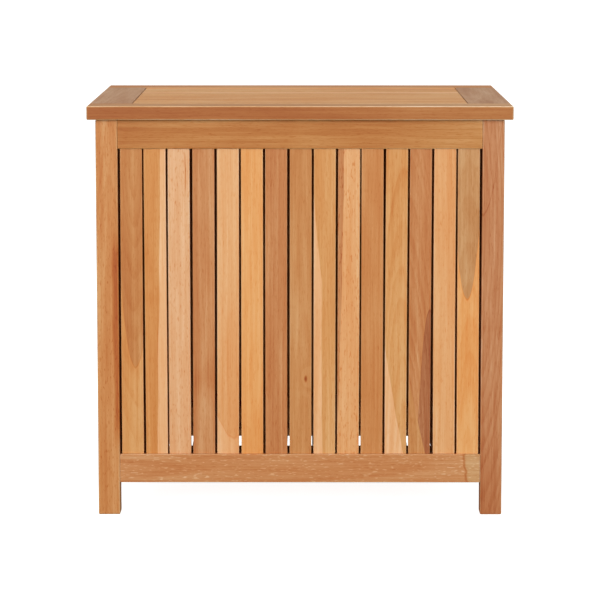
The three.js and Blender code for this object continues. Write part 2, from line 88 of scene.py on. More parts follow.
class ChestSizes(PropertyGroup):
    """Sizes that belong to the finish, not to the frame."""

    slat_ease: FloatProperty(
        name="Slat edge", description="Radius of the eased edges of the slats",
        default=1.0 * MM, min=0.2 * MM, max=4 * MM, subtype="DISTANCE", unit="LENGTH")
    rail_ease: FloatProperty(
        name="Rail edge", description="Radius of the eased edges of the rails",
        default=1.2 * MM, min=0.2 * MM, max=4 * MM, subtype="DISTANCE", unit="LENGTH")
    leg_ease: FloatProperty(
        name="Leg edge", description="Radius of the eased edges of the legs",
        default=2.0 * MM, min=0.2 * MM, max=6 * MM, subtype="DISTANCE", unit="LENGTH")
    lid_ease: FloatProperty(
        name="Lid edge", description="Radius of the eased edges of the lid frame",
        default=1.8 * MM, min=0.2 * MM, max=6 * MM, subtype="DISTANCE", unit="LENGTH")
    bow: FloatProperty(
        name="Bow", description="How far a long slat wanders from straight",
        default=0.25 * MM, min=0, max=1 * MM, subtype="DISTANCE", unit="LENGTH")
    ring_gap: FloatProperty(
        name="Ring gap", description="Distance between growth rings in the teak",
        default=5.2 * MM, min=1 * MM, max=20 * MM, subtype="DISTANCE", unit="LENGTH")
    leaf_reveal: FloatProperty(
        name="Leaf reveal", description="How far the hinge leaves stand out of the wood",
        default=0.15 * MM, min=0, max=1 * MM, subtype="DISTANCE", unit="LENGTH")
    # Painted shade: how much the narrow faces of the slats are darkened to stand for the shade inside
    # the gaps.
    gap_shade: FloatProperty(
        name="Gap shade", description="How much darker the narrow faces inside the gaps are",
        default=1.0, min=0, max=3, subtype="FACTOR")
    screw_head: FloatProperty(
        name="Screw head", description="Radius of the countersunk screw heads",
        default=2.75 * MM, min=1 * MM, max=5 * MM, subtype="DISTANCE", unit="LENGTH")
    screw_shank: FloatProperty(
        name="Screw shank", description="Radius of the screw shanks",
        default=1.4 * MM, min=0.5 * MM, max=3 * MM, subtype="DISTANCE", unit="LENGTH")
    camera_distance: FloatProperty(
        name="Camera distance", description="Camera to the front edge of the lid",
        default=4.0671, min=1, max=20, subtype="DISTANCE", unit="LENGTH")
    camera_height: FloatProperty(
        name="Camera height", description="Camera above the ground",
        default=0.8553, min=0, max=5, subtype="DISTANCE", unit="LENGTH")
    camera_aside: FloatProperty(
        name="Camera offset", description="Camera to the right of the chest's middle",
        default=0.0108, min=-5, max=5, subtype="DISTANCE", unit="LENGTH")
    camera_pitch: FloatProperty(
        name="Camera pitch", description="How far the camera looks down",
        default=math.radians(7.611), min=0, max=math.pi / 2, subtype="ANGLE", unit="ROTATION")
    camera_turn: FloatProperty(
        name="Camera turn", description="How far the camera turns to the left",
        default=math.radians(0.152), min=-math.pi, max=math.pi, subtype="ANGLE", unit="ROTATION")
    camera_lens: FloatProperty(
        name="Lens", description="Focal length on a 36 mm wide sensor, in millimetres",
        default=174.02, min=20, max=400, unit="CAMERA")


def colour(name, description, *display):
    return FloatVectorProperty(
        name=name, description=description, size=3, min=0, max=1,
        default=linear(*display), subtype="COLOR")


class ChestColours(PropertyGroup):
    """Colours of the woods and metals."""

    tan: colour("Tan teak", "Boards of middling brown", 200, 134, 74)
    copper: colour("Copper teak", "Clear red-gold boards", 205, 136, 75)
    golden: colour("Golden teak", "Straight yellow-brown boards", 230, 160, 90)
    honey: colour("Honey teak", "Light yellow-tan boards", 216, 152, 87)
    peach: colour("Peach teak", "Light pinkish boards", 227, 163, 103)
    pinkish: colour("Pinkish teak", "Palest boards", 226, 168, 117)
    orange: colour("Orange teak", "Warm orange-brown boards", 211, 139, 71)
    reddish: colour("Reddish teak", "Red-brown boards", 197, 127, 72)
    rosy: colour("Rosy teak", "Dull rose-brown boards", 190, 121, 73)
    amber: colour("Amber teak", "Deep amber boards", 187, 118, 54)
    umber: colour("Umber teak", "Dark red-brown boards", 174, 105, 60)
    khaki: colour("Khaki teak", "Greenish tan heartwood", 197, 140, 85)
    greyed: colour("Greyed teak", "Slightly weathered boards", 189, 139, 97)
    sapwood: colour("Sapwood", "Pale outer wood of the tree", 234, 177, 123)
    brass: colour("Brass", "Satin brass of the hinges", 214, 178, 104)
    steel: colour("Steel", "Zinc plated steel of the stay", 190, 191, 190)
    ground: colour("Ground", "Studio floor and background", 244, 244, 243)


# ------------------------------------------------------------------- shaders


class Shader:
    """Short calls for the node work that the materials share."""

    def __init__(self, name):
        self.material = bpy.data.materials.new(name)
        self.material.use_nodes = True
        self.tree = self.material.node_tree
        self.tree.nodes.clear()

    def node(self, kind, inputs=None, **settings):
        made = self.tree.nodes.new(kind)
        for key, value in settings.items():
            setattr(made, key, value)
        for key, value in (inputs or {}).items():
            self.plug(made.inputs[key], value)
        return made

    def plug(self, socket, value):
        if isinstance(value, bpy.types.NodeSocket):
            self.tree.links.new(value, socket)
        else:
            socket.default_value = value

    def fill(self, made, values):
        for socket, value in zip(made.inputs, values):
            self.plug(socket, value)
        return made

    def math(self, operation, *values):
        made = self.node("ShaderNodeMath", operation=operation)
        return self.fill(made, values).outputs[0]

    def total(self, *values):
        """The sum of any number of values."""
        result = values[0]
        for value in values[1:]:
            result = self.math("ADD", result, value)
        return result

    def vector(self, operation, *values):
        """Vector sums whose result is a vector."""
        made = self.node("ShaderNodeVectorMath", operation=operation)
        return self.fill(made, values).outputs[0]

    def measure(self, operation, *values):
        """Vector sums whose result is one number, such as a length."""
        made = self.node("ShaderNodeVectorMath", operation=operation)
        return self.fill(made, values).outputs["Value"]

    def split(self, value):
        made = self.node("ShaderNodeSeparateXYZ", {0: value})
        return made.outputs[0], made.outputs[1], made.outputs[2]

    def join(self, *values):
        return self.node("ShaderNodeCombineXYZ", dict(enumerate(values))).outputs[0]

    def own(self, name):
        """A custom property of the object that wears the material."""
        return self.node("ShaderNodeAttribute", attribute_type="OBJECT", attribute_name=name)

    def noise(self, place, stretch, detail=2.0, roughness=0.5):
        """Noise from 0 to 1, with its features drawn out by different scales along each axis."""
        scaled = self.vector("MULTIPLY", place, stretch)
        made = self.node(
            "ShaderNodeTexNoise",
            {"Vector": scaled, "Scale": 1.0, "Detail": detail, "Roughness": roughness})
        return made.outputs["Fac"]

    def spread(self, value, low, high, to_low=0.0, to_high=1.0):
        """A soft step from one value to another between two limits."""
        made = self.node(
            "ShaderNodeMapRange",
            {"Value": value, "From Min": low, "From Max": high, "To Min": to_low, "To Max": to_high},
            interpolation_type="SMOOTHSTEP", clamp=True)
        return made.outputs["Result"]

    def mix(self, factor, first, second, blend="MIX"):
        """One colour laid over another."""
        made = self.node("ShaderNodeMix", data_type="RGBA", blend_type=blend, clamp_factor=True)
        self.plug(made.inputs["Factor"], factor)
        self.plug(made.inputs[6], first)
        self.plug(made.inputs[7], second)
        return made.outputs[2]

    def finish(self, base, roughness, height=None, bump=0.2, depth=0.3 * MM, **constants):
        """Closes the material with a Principled shader and, with a height, its bump."""
        shader = self.node("ShaderNodeBsdfPrincipled", {"Base Color": base, "Roughness": roughness})
        for key, value in constants.items():
            shader.inputs[key.replace("_", " ")].default_value = value
        if height is not None:
            raised = self.node(
                "ShaderNodeBump", {"Height": height, "Strength": bump, "Distance": depth})
            self.plug(shader.inputs["Normal"], raised.outputs["Normal"])
        output = self.node("ShaderNodeOutputMaterial")
        self.plug(output.inputs["Surface"], shader.outputs["BSDF"])
        return self.material


def growth_rings(shader, place, seed, swirl, ring_gap):
    """Dark latewood lines, 0 to 1, of a tree whose pith lies off the board and leans along it."""
    pith_x, pith_depth, pith_lean = shader.split(shader.own("wood_pith").outputs["Vector"])
    x, y, z = shader.split(place)
    seeded = shader.vector("ADD", place, seed)
    sway = shader.math("SUBTRACT", shader.noise(seeded, (16, 16, 5), 2), 0.5)
    swell = shader.math("SUBTRACT", shader.noise(seeded, (9, 9, 2.5), 1), 0.5)
    across = shader.total(
        x, shader.math("MULTIPLY", pith_x, -1.0), shader.math("MULTIPLY", sway, 0.012))
    down = shader.total(
        y, pith_depth, shader.math("MULTIPLY", pith_lean, z), shader.math("MULTIPLY", swell, 0.016))
    radius = shader.measure("LENGTH", shader.join(across, down, 0.0))
    turns = shader.math("DIVIDE", shader.math("ADD", radius, swirl), ring_gap)
    uneven = shader.noise(shader.vector("ADD", shader.join(turns, 0.0, 0.0), seed), (0.7, 1.0, 1.0), 1)
    phase = shader.math("FRACT", shader.math("ADD", turns, shader.math("MULTIPLY", uneven, 1.8)))
    rise = shader.spread(phase, 0.20, 0.86)
    fall = shader.spread(phase, 0.88, 1.0, 1.0, 0.0)
    return shader.math("MULTIPLY", rise, fall)


def sapwood(shader, x, z, waver):
    """Share of sapwood: past an edge that leans along the board and straightens below a knee."""
    edge, lean, side = shader.split(shader.own("wood_sap").outputs["Vector"])
    above_knee = shader.math("MAXIMUM", z, shader.own("wood_knee").outputs["Fac"])
    past = shader.total(
        x,
        shader.math("MULTIPLY", edge, -1.0),
        shader.math("MULTIPLY", shader.math("MULTIPLY", lean, above_knee), -1.0),
        shader.math("MULTIPLY", waver, 0.006))
    return shader.spread(shader.math("MULTIPLY", past, side), -0.0003, 0.0009)


def heartwood(shader, x, z, waver):
    """Share of heartwood, above a tongue that points down the board, and the line round it."""
    tip_x, tip_z, steepness = shader.split(shader.own("wood_heart").outputs["Vector"])
    aside = shader.math("SUBTRACT", x, tip_x)
    rise = shader.math("MULTIPLY", shader.math("MULTIPLY", aside, aside), steepness)
    above = shader.total(
        z,
        shader.math("MULTIPLY", tip_z, -1.0),
        shader.math("MULTIPLY", rise, -1.0),
        shader.math("MULTIPLY", waver, 0.030))
    line = shader.spread(shader.math("ABSOLUTE", above), 0.0, 0.0030, 1.0, 0.0)
    return shader.spread(above, -0.001, 0.004), line


def dark_marks(shader, x, z, seeded, waver):
    """How much a blotch, a vein and a knot darken the wood, and how the knot bends its rings."""
    mark_z, mark_reach, mark_depth = shader.split(shader.own("wood_mark").outputs["Vector"])
    off = shader.math("ABSOLUTE", shader.math("SUBTRACT", z, mark_z))
    ragged = shader.math("MULTIPLY", shader.noise(seeded, (90, 90, 14), 2), 0.06)
    blotch = shader.math(
        "MULTIPLY", mark_depth,
        shader.spread(shader.math("ADD", off, ragged), 0.0, mark_reach, 1.0, 0.0))

    vein_x, vein_z, vein_reach = shader.split(shader.own("wood_vein").outputs["Vector"])
    width = shader.own("wood_vein_width").outputs["Fac"]
    aside = shader.math(
        "ABSOLUTE", shader.total(x, shader.math("MULTIPLY", vein_x, -1.0),
                                 shader.math("MULTIPLY", waver, 0.008)))
    along = shader.math("ABSOLUTE", shader.math("SUBTRACT", z, vein_z))
    vein = shader.math(
        "MULTIPLY",
        shader.spread(shader.math("DIVIDE", aside, width), 0.2, 1.3, 1.0, 0.0),
        shader.spread(shader.math("DIVIDE", along, vein_reach), 0.7, 1.1, 1.0, 0.0))
    vein = shader.math("MULTIPLY", vein, shader.own("wood_vein_depth").outputs["Fac"])

    knot_x, knot_z, knot_size = shader.split(shader.own("wood_knot").outputs["Vector"])
    from_knot = shader.measure("LENGTH", shader.join(
        shader.math("SUBTRACT", x, knot_x),
        shader.math("MULTIPLY", shader.math("SUBTRACT", z, knot_z), 0.45), 0.0))
    knot = shader.spread(from_knot, 0.0, knot_size, 1.2, 0.0)
    halo = shader.spread(from_knot, 0.0, shader.math("MULTIPLY", knot_size, 5.0), 1.0, 0.0)
    swirl = shader.math("MULTIPLY", shader.math("MULTIPLY", halo, knot_size), 2.5)
    return shader.total(blotch, vein, knot), swirl


def teak_material(name, sizes, roughness, dryness):
    """Oiled teak: rings, fibres, pores, sapwood, arrises lightened by rubbing and by a painted
    highlight, and narrow faces darkened by painted shade, each board different.
    """
    shader = Shader(name)
    place = shader.node("ShaderNodeTexCoord").outputs["Object"]
    number = shader.own("wood_seed").outputs["Fac"]
    seed = shader.join(
        number, shader.math("MULTIPLY", number, 0.61), shader.math("MULTIPLY", number, 0.37))
    seeded = shader.vector("ADD", place, seed)
    x, _, z = shader.split(place)
    waver = shader.math("SUBTRACT", shader.noise(seeded, (34, 34, 10), 3), 0.5)

    marks, swirl = dark_marks(shader, x, z, seeded, waver)
    rings = growth_rings(shader, place, seed, swirl, sizes.ring_gap)
    ring_drift = shader.noise(seeded, (22, 22, 4), 1)
    ring_show = shader.math(
        "MULTIPLY", shader.math("MULTIPLY", rings, ring_drift),
        shader.own("wood_figure").outputs["Fac"])
    drift = shader.noise(seeded, (40, 40, 5), 2, 0.55)
    streak = shader.noise(seeded, (190, 190, 3.5), 2, 0.55)
    fibre = shader.noise(seeded, (620, 620, 9), 3, 0.6)
    fine = shader.noise(seeded, (1700, 1700, 45), 2, 0.6)
    pores = shader.spread(shader.noise(seeded, (1250, 1250, 85), 1), 0.60, 0.70)
    fleck = shader.math(
        "MULTIPLY", shader.spread(shader.noise(seeded, (620, 620, 120), 1), 0.60, 0.72),
        shader.own("wood_fleck").outputs["Fac"])

    fade = shader.math("MULTIPLY", shader.own("wood_fade").outputs["Fac"], z)
    arris = shader.node(
        "ShaderNodeAttribute", attribute_type="GEOMETRY", attribute_name="arris").outputs["Fac"]
    facing_edge, _, facing_end = shader.split(
        shader.node("ShaderNodeTexCoord").outputs["Normal"])
    # Lighter arrises: partly rubbed edges, partly a painted highlight of the eased edges catching the
    # light.
    rubbed_and_highlit = shader.math("MULTIPLY", shader.own("wood_wear").outputs["Fac"], -1.0)
    end_grain = shader.math("POWER", shader.math("ABSOLUTE", facing_end), 6.0)
    # Painted shade: darker narrow faces stand for the shade inside the gaps between slats; on the lid's
    # front board they also darken its front face.
    painted_narrow_face_shade = shader.math(
        "MULTIPLY", shader.math("POWER", shader.math("ABSOLUTE", facing_edge), 6.0),
        shader.own("wood_edge").outputs["Fac"])

    heart, heart_line = heartwood(shader, x, z, waver)
    sap = sapwood(shader, x, z, waver)
    richness = shader.total(
        0.93,
        ring_show,
        shader.math("MULTIPLY", shader.math("SUBTRACT", drift, 0.5), 0.75),
        shader.math("MULTIPLY", shader.math("SUBTRACT", 0.5, streak), 0.45),
        shader.math("MULTIPLY", shader.math("SUBTRACT", 0.5, fibre), 0.40),
        shader.math("MULTIPLY", shader.math("SUBTRACT", 0.5, fine), 0.20),
        shader.math("MULTIPLY", pores, 0.20),
        fleck,
        marks,
        fade,
        painted_narrow_face_shade,
        shader.math("MULTIPLY", heart_line, 0.34),
        shader.math("MULTIPLY", end_grain, 0.30),
        shader.math("MULTIPLY", arris, rubbed_and_highlit))
    tone = shader.mix(
        heart, shader.own("wood_tone").outputs["Color"],
        shader.own("wood_heart_tone").outputs["Color"])
    tone = shader.mix(sap, tone, shader.own("wood_sap_tone").outputs["Color"])
    base = shader.node("ShaderNodeGamma", {"Color": tone, "Gamma": richness}).outputs[0]

    gloss = shader.total(
        roughness,
        shader.math("MULTIPLY", shader.math("SUBTRACT", fibre, 0.5), 0.16),
        shader.math("MULTIPLY", pores, 0.10))
    height = shader.total(
        shader.math("MULTIPLY", fibre, 0.45),
        shader.math("MULTIPLY", fine, 0.35),
        shader.math("MULTIPLY", rings, -0.20),
        shader.math("MULTIPLY", pores, -0.55))
    return shader.finish(
        base, gloss, height, bump=0.25 + dryness, depth=0.25 * MM,
        Specular_IOR_Level=0.35)


def brass_material(colours):
    """Satin brass, rubbed along its length and a little dulled."""
    shader = Shader("brass_satin")
    place = shader.node("ShaderNodeTexCoord").outputs["Object"]
    brushed = shader.noise(place, (60, 2600, 2600), 2)
    cloud = shader.noise(place, (70, 70, 70), 3, 0.6)
    dull = shader.spread(cloud, 0.42, 0.75)
    tarnish = shader.mix(0.55, (*colours.brass, 1.0), (*linear(120, 84, 42), 1.0))
    base = shader.mix(shader.math("MULTIPLY", dull, 0.6), (*colours.brass, 1.0), tarnish)
    gloss = shader.total(
        0.27, shader.math("MULTIPLY", brushed, 0.14), shader.math("MULTIPLY", dull, 0.12))
    return shader.finish(base, gloss, brushed, bump=0.10, depth=0.05 * MM, Metallic=1.0)


def steel_material(colours):
    """Zinc plated steel with the soft mottling of the plating."""
    shader = Shader("steel_zinc")
    place = shader.node("ShaderNodeTexCoord").outputs["Object"]
    spangle = shader.node(
        "ShaderNodeTexVoronoi",
        {"Vector": shader.vector("MULTIPLY", place, (420, 420, 420)), "Scale": 1.0}).outputs["Color"]
    grey = shader.node("ShaderNodeRGBToBW", {"Color": spangle}).outputs[0]
    cloud = shader.noise(place, (90, 90, 90), 3, 0.6)
    shade = shader.total(0.82, shader.math("MULTIPLY", grey, 0.12), shader.math("MULTIPLY", cloud, 0.16))
    base = shader.mix(1.0, (*colours.steel, 1.0), shader.join(shade, shade, shade), "MULTIPLY")
    gloss = shader.total(
        0.30, shader.math("MULTIPLY", grey, 0.10), shader.math("MULTIPLY", cloud, 0.14))
    return shader.finish(base, gloss, cloud, bump=0.08, depth=0.05 * MM, Metallic=1.0)


def ground_material(colours):
    """A pale matt studio floor that gives back a little light of its own."""
    shader = Shader("studio_ground")
    place = shader.node("ShaderNodeTexCoord").outputs["Object"]
    grain = shader.noise(place, (40, 40, 40), 2)
    shade = shader.total(0.985, shader.math("MULTIPLY", grain, 0.03))
    base = shader.mix(1.0, (*colours.ground, 1.0), shader.join(shade, shade, shade), "MULTIPLY")
    return shader.finish(
        base, 0.9, Emission_Color=(1.0, 1.0, 1.0, 1.0), Emission_Strength=0.9)


def material(name):
    """A material of this file, made the first time that it is asked for."""
    sizes = bpy.context.scene.chest_sizes
    colours = bpy.context.scene.chest_colours
    makers = {
        "teak_oiled": lambda: teak_material("teak_oiled", sizes, 0.52, 0.0),
        "teak_sanded": lambda: teak_material("teak_sanded", sizes, 0.66, 0.1),
        "brass_satin": lambda: brass_material(colours),
        "steel_zinc": lambda: steel_material(colours),
        "studio_ground": lambda: ground_material(colours),
    }
    return bpy.data.materials.get(name) or makers[name]()


# --------------------------------------------------------------------- boards


# By default every board's arrises are lightened, partly as rubbed edges and partly as a painted
# highlight.
PLAIN = {
    "figure": 0.12, "fleck": 0.10, "fade": 0.0, "edge": 0.0, "wear": 0.30,
    "sap": (1.0, 0.0, 1.0), "knee": -1.0, "sap_tone": "sapwood",
    "heart": (0.0, 2.0, 0.0), "heart_tone": "khaki",
    "mark": (0.0, 0.01, 0.0), "knot": (0.0, 2.0, 0.001),
    "vein": (0.0, 2.0, 0.01), "vein_width": 0.001, "vein_depth": 0.0,
}


def look(tone, pith=(0.0, 0.07, 0.01), **features):
    """The character of one board, in metres in the board's own axes, with z along its grain.

    pith: the heart of the tree, how far aside, how far behind the face, and its lean.
    figure: how plainly the growth rings show.
    fleck: how plainly the dark flecks show, or the pale ones below 0.
    sap: the edge of the sapwood, how far aside, its lean, and 1 or -1 for its side;
    it runs straight below the knee.
    heart: the tip of a tongue, aside and up the board, and its steepness. The heart tone
    lies above the line, and the tongue points down, or up if the steepness is below 0.
    mark: a dark blotch, its height, reach and depth. knot: aside, up and its radius.
    vein: a dark streak, aside, up and its reach along the board.
    fade darkens upwards, edge darkens the narrow faces with painted shade, and wear lightens the
    arrises, partly as rubbed edges and partly as a painted highlight.
    """
    return {**PLAIN, "tone": tone, "pith": pith, **features}


def any_look(dice, tones):
    """A plain board picked by the dice from some tones."""
    flat_sawn = dice.random() < 0.45
    if flat_sawn:
        aside = dice.uniform(-0.012, 0.012)
        behind = dice.uniform(0.02, 0.045)
        lean = dice.uniform(-0.09, 0.09)
    else:
        aside = dice.choice((-1, 1)) * dice.uniform(0.03, 0.06)
        behind = dice.uniform(0.02, 0.08)
        lean = dice.uniform(-0.02, 0.02)
    features = {
        "figure": dice.uniform(0.10, 0.40), "fleck": dice.uniform(0.0, 0.25),
        "fade": dice.uniform(-0.3, 0.3)}
    if dice.random() < 0.25:
        side = dice.choice((-1, 1))
        features["sap"] = (side * dice.uniform(0.003, 0.011), dice.uniform(-0.03, 0.03), side)
    return look(dice.choice(tones), (aside, behind, lean), **features)


def section(width, thickness, ease, inset, steps):
    """Points round a rectangle with rounded corners, drawn in by an inset."""
    half = Vector((width / 2 - ease, thickness / 2 - ease))
    points = []
    for corner, (sx, sy) in enumerate(((1, 1), (-1, 1), (-1, -1), (1, -1))):
        for step in range(steps + 1):
            angle = (corner + step / steps) * math.pi / 2
            reach = ease - inset
            points.append((
                sx * half.x + reach * math.cos(angle),
                sy * half.y + reach * math.sin(angle),
                0.0 if step in (0, steps) else 1.0))
    return points


def stations(length, ease, steps, spans):
    """Places along a board as (height, inset, on the eased end or not)."""
    end = []
    for step in range(steps + 1):
        angle = step / steps * math.pi / 2
        edge = 0.0 if step in (0, steps) else 1.0
        end.append((ease * (1 - math.sin(angle)), ease * (1 - math.cos(angle)), edge))
    far = [(length / 2 - rise, inset, edge) for rise, inset, edge in end]
    near = [(-z, inset, edge) for z, inset, edge in reversed(far)]
    inner = length / 2 - ease
    middle = [(-inner + 2 * inner * i / spans, 0.0, 0.0) for i in range(1, spans)]
    return near + middle + far


def board_mesh(name, size, ease, bow, dice, steps=3, spans=6):
    """A sawn and sanded board, lofted along Z from an eased section, with a slight bow."""
    width, thickness, length = size
    bend_x = dice.uniform(-bow, bow)
    bend_y = dice.uniform(-bow, bow) * 0.6
    shape = bmesh.new()
    arris = shape.verts.layers.float.new("arris")
    rings = []
    for z, inset, on_end in stations(length, ease, steps, spans):
        curve = 1 - (2 * z / length) ** 2
        ring = []
        for x, y, on_edge in section(width, thickness, ease, inset, steps):
            vertex = shape.verts.new((x + bend_x * curve, y + bend_y * curve, z))
            vertex[arris] = max(on_edge, on_end)
            ring.append(vertex)
        rings.append(ring)
    for low, high in zip(rings, rings[1:]):
        for i in range(len(low)):
            j = (i + 1) % len(low)
            shape.faces.new((low[i], low[j], high[j], high[i]))
    shape.faces.new(reversed(rings[0]))
    shape.faces.new(rings[-1])
    for face in shape.faces:
        face.smooth = True
    mesh = bpy.data.meshes.new(name)
    shape.to_mesh(mesh)
    shape.free()
    return mesh


def add_board(name, low, high, grain, face, body, character, ease,
              stands_for=(), wood="teak_oiled", bow=0.0, lean=0.0, nudge=(0.0, 0.0)):
    """A board that fills a box of the frame, its grain along one axis and its face to another.

    lean turns it about its face and nudge moves it aside and inwards.
    """
    colours = bpy.context.scene.chest_colours
    depth = -face
    across = depth.cross(grain)
    turn = Matrix((across, depth, grain)).transposed()
    size = [abs(v) for v in turn.transposed() @ (high - low)]
    number = sum(ord(letter) * (i + 3) for i, letter in enumerate(name)) % 977
    dice = random.Random(number)
    mesh = board_mesh(name, size, ease, bow, dice)
    mesh.materials.append(material(wood))
    piece = bpy.data.objects.new(name, mesh)
    bpy.context.collection.objects.link(piece)
    place = (low + high) / 2 + across * nudge[0] + depth * nudge[1]
    tilt = Matrix.Rotation(math.radians(lean), 4, "Y")
    piece.matrix_world = Matrix.Translation(place) @ turn.to_4x4() @ tilt
    smooth = piece.modifiers.new("even_shading", "WEIGHTED_NORMAL")
    smooth.weight = 100
    smooth.keep_sharp = False
    piece["wood_seed"] = number * 0.173
    for feature, value in character.items():
        if isinstance(value, str):
            value = getattr(colours, value)
        piece[f"wood_{feature}"] = list(value) if hasattr(value, "__len__") else float(value)
    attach(piece, body)
    if stands_for:
        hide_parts(*stands_for)
    return piece


def dress(node, metal, round_off):
    """Gives a metal node of the frame its material and a fine round on its edges."""
    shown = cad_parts[node]
    shown.data.materials.clear()
    shown.data.materials.append(material(metal))
    flat = shown.modifiers.new("flat_faces", "DECIMATE")
    flat.decimate_type = "DISSOLVE"
    flat.angle_limit = math.radians(1)
    edge = shown.modifiers.new("fine_edges", "BEVEL")
    edge.width = round_off
    edge.segments = 2
    edge.limit_method = "ANGLE"
    edge.angle_limit = math.radians(40)
    edge.harden_normals = True


# -------------------------------------------------------- places in the frame


def wall_opening(wall):
    """Heights between the top and bottom rails of a wall."""
    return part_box(f"{wall}_bottom_rail")[1].z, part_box(f"{wall}_top_rail")[0].z


def even_slats(low, high, count, gap):
    """Starts and ends of slats that fill a stretch with even gaps between and beside them."""
    width = (high - low - (count + 1) * gap) / count
    starts = [low + gap + i * (width + gap) for i in range(count)]
    return [(start, start + width) for start in starts]


# ------------------------------------------------------------------ operators


class ChestLegs(Operator):
    """Build the four legs"""

    bl_idname = "chest.legs"
    bl_label = "Legs"

    looks = {
        "leg_front_left": look(
            "copper", (0.004, 0.030, 0.035), figure=0.20, fleck=0.35, fade=-0.15,
            vein=(0.0122, -0.03, 0.15), vein_width=0.0055, vein_depth=0.60),
        "leg_front_right": look(
            "rosy", (-0.025, 0.035, -0.14), figure=0.22, fade=-0.25, fleck=0.05,
            heart=(-0.0155, 0.149, 177.0), heart_tone="rosy", mark=(-0.013, 0.06, 0.16)),
        "leg_back_left": look("reddish", (0.040, 0.030, 0.01), figure=0.30),
        "leg_back_right": look("tan", (0.010, 0.036, -0.05), figure=0.35),
    }

    def execute(self, context):
        ease = context.scene.chest_sizes.leg_ease
        for name, character in self.looks.items():
            low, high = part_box(name)
            face = -Y if "front" in name else Y
            add_board(f"{name}_post", low, high, Z, face, "case", character, ease,
                      stands_for=(name,))
        return {"FINISHED"}


class ChestRails(Operator):
    """Build the top and bottom rails of the four walls"""

    bl_idname = "chest.rails"
    bl_label = "Rails"

    looks = {
        "front_top_rail": look(
            "amber", (0.030, 0.050, 0.012), figure=0.12, fade=-0.25, mark=(-0.02, 0.06, 0.10)),
        "front_bottom_rail": look(
            "reddish", (0.002, 0.046, 0.02), figure=0.20, fleck=-0.30, heart=(0.0, 0.235, 8.0)),
        "back_top_rail": look("tan", (-0.03, 0.04, 0.02), figure=0.30),
        "back_bottom_rail": look("amber", (0.01, 0.03, 0.05), figure=0.30),
        "left_top_rail": look("reddish", (0.02, 0.04, 0.03), figure=0.25),
        "left_bottom_rail": look("tan", (0.0, 0.03, 0.05), figure=0.30),
        "right_top_rail": look("tan", (0.03, 0.035, -0.02), figure=0.25),
        "right_bottom_rail": look("rosy", (-0.01, 0.04, 0.05), figure=0.30),
    }

    def execute(self, context):
        ease = context.scene.chest_sizes.rail_ease
        leg_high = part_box("leg_front_left")[1]
        for name, character in self.looks.items():
            wall = name.split("_")[0]
            grain = X if wall in ("front", "back") else Y
            low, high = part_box(name)
            inner = -leg_high.x if grain is X else -leg_high.y
            along = 0 if grain is X else 1
            low[along], high[along] = -inner, inner
            if name == "back_top_rail":
                high.z -= context.scene.chest_sizes.leaf_reveal
            add_board(f"{name}_board", low, high, grain, OUTWARD[wall], "case",
                      character, ease, stands_for=(name,))
        return {"FINISHED"}


class ChestFrontSlats(Operator):
    """Build the front slats, each with its own grain"""

    bl_idname = "chest.front_slats"
    bl_label = "Front Slats"

    # Each slat from left to right: its look, its lean in degrees and its shift in millimetres
    slats = (
        (look("honey", (0.0047, 0.030, -0.11), figure=0.15, mark=(0.07, 0.35, 0.17),
              heart=(0.0047, -0.094, 300.0), heart_tone="tan"), 0.0, 0.3),
        (look("orange", (-0.030, 0.030, 0.02), sap=(0.0042, 0.0163, 1.0),
              mark=(0.005, 0.05, 0.25)), -0.15, -0.1),
        (look("pinkish", (0.035, 0.050, 0.015), fleck=0.35, fade=-0.35,
              vein=(0.0095, 0.185, 0.028), vein_width=0.0010, vein_depth=0.7), -0.06, -0.6),
        (look("reddish", (-0.040, 0.040, 0.01), mark=(-0.11, 0.07, 0.22), fade=-0.10), 0.06, -0.2),
        (look("sapwood", (0.050, 0.040, 0.01), heart=(0.008, -0.195, 60.0), heart_tone="peach",
              fade=-0.55), 0.12, 0.1),
        (look("golden", (-0.050, 0.060, 0.004), fade=-0.10), 0.03, 0.2),
        (look("reddish", (0.045, 0.040, 0.008), figure=0.20), 0.0, 0.5),
        (look("tan", (0.003, 0.028, 0.03), figure=0.15, knot=(0.0074, -0.110, 0.0030)), 0.06, 0.8),
        (look("honey", (-0.020, 0.024, 0.05), sap=(-0.0005, -0.10, -1.0), knee=0.03), 0.06, 0.8),
        (look("reddish", (0.060, 0.050, 0.006), fleck=0.40, sap=(-0.011, 0.020, 1.0),
              sap_tone="peach"), 0.14, 0.6),
        (look("copper", (0.040, 0.060, 0.01), mark=(-0.03, 0.30, 0.08), fade=0.15),
         0.05, -0.1),
        (look("honey", (0.010, 0.032, 0.07), figure=0.25, sap=(-0.0264, -0.172, -1.0),
              fade=0.15), 0.12, 0.2),
        (look("umber", (-0.025, 0.040, 0.12), figure=0.24, fade=-0.10,
              heart=(0.014, -0.009, -660.0), heart_tone="reddish",
              sap=(-0.040, -0.222, -1.0), sap_tone="tan"), 0.10, -0.2),
        (look("peach", (-0.060, 0.050, 0.01), fleck=0.20), -0.03, 0.4),
        (look("golden", (0.002, 0.034, 0.09), figure=0.15, fade=0.05,
              heart=(-0.0017, 0.004, 340.0)), -0.10, -0.1),
    )

    def execute(self, context):
        sizes = context.scene.chest_sizes
        bottom, top = wall_opening("front")
        for i, (character, lean, shift) in enumerate(self.slats, start=1):
            node = f"front_slat_{i:02d}"
            low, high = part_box(node)
            low.z, high.z = bottom, top
            # The narrow faces get painted shade for the gaps between slats.
            shaded = {**character, "edge": sizes.gap_shade}
            add_board(f"{node}_board", low, high, Z, -Y, "case", shaded,
                      sizes.slat_ease, stands_for=(node,), bow=sizes.bow, lean=lean,
                      nudge=(shift * MM, 0.0))
        return {"FINISHED"}


